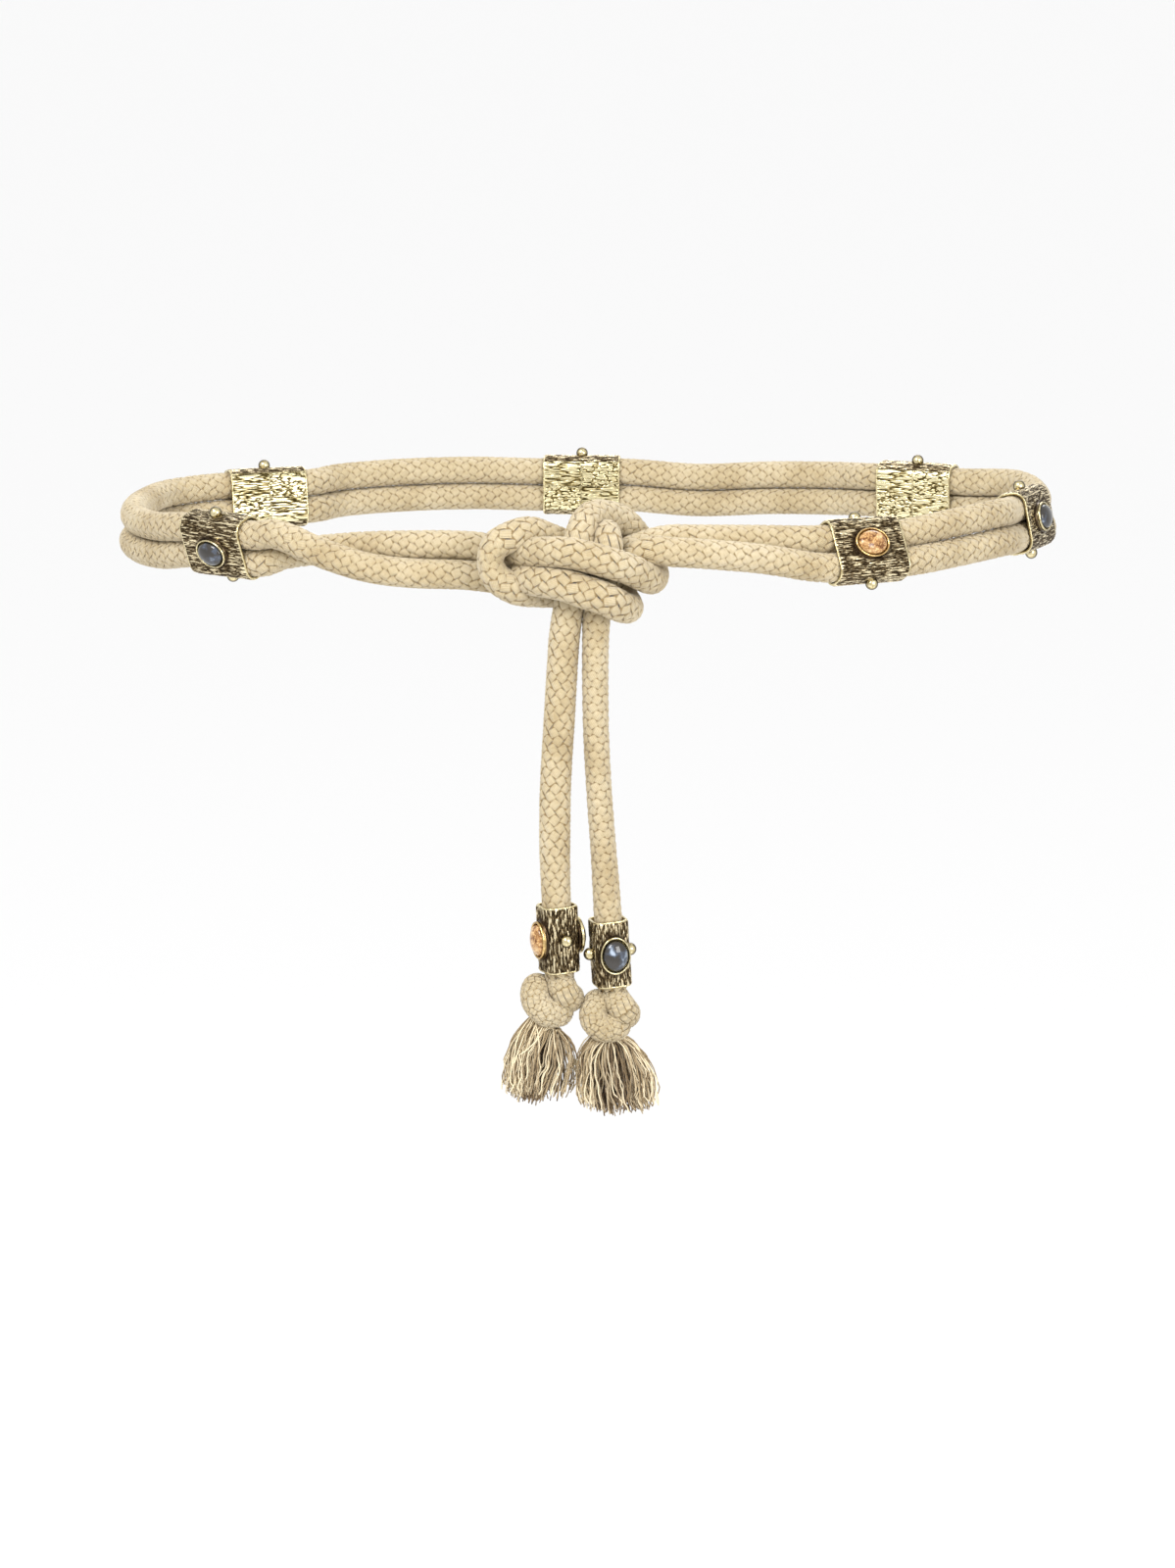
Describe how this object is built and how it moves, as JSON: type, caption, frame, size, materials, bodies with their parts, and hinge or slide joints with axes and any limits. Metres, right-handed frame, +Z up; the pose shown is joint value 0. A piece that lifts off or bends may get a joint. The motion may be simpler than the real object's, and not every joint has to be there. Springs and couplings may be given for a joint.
{
  "type": "rope belt",
  "caption": "Braided rope belt worn round the waist, doubled through cast slides with set stones and knotted in front, its hanging tails ending in sleeves, knots and tassels.",
  "frame": {"origin": "the middle of the waist opening, level with the rope pair's mean height, in the mount waist", "axes": "+Z up the wearer's body, +Y to the back, +X to the right of the picture, which is the wearer's left"},
  "size_m": [0.3231, 0.2347, 0.2007],
  "materials": {
    "cotton rope": "matte braided cotton",
    "tassel yarn": "matte loose yarn",
    "antique brass": "cast, darkened in the hollows, rubbed bright on the ridges",
    "orange stone": "polished cabochon with glittering flecks",
    "blue-grey stone": "polished cabochon with a blue sheen"
  },
  "bodies": {
    "root": {"waist_rope_upper": "cotton rope", "waist_rope_lower": "cotton rope", "front_knot": "cotton rope", "tail_rope_left": "cotton rope", "tail_rope_right": "cotton rope", "end_knot_left": "cotton rope", "end_knot_right": "cotton rope", "tassel_left": "tassel yarn", "tassel_right": "tassel yarn", "slide_front_left": "antique brass", "slide_front_right": "antique brass", "slide_side_right": "antique brass", "slide_back_left": "antique brass", "slide_back_middle": "antique brass", "slide_back_right": "antique brass", "tail_sleeve_left": "antique brass", "tail_sleeve_right": "antique brass", "stone_front_left": "blue-grey stone", "stone_front_right": "orange stone", "stone_side_right": "blue-grey stone", "stone_back_left": "orange stone", "stone_back_middle": "blue-grey stone", "stone_back_right": "orange stone", "tail_stone_left_front": "orange stone", "tail_stone_left_back": "blue-grey stone", "tail_stone_right_front": "blue-grey stone", "tail_stone_right_back": "orange stone"}
  },
  "joints": []
}
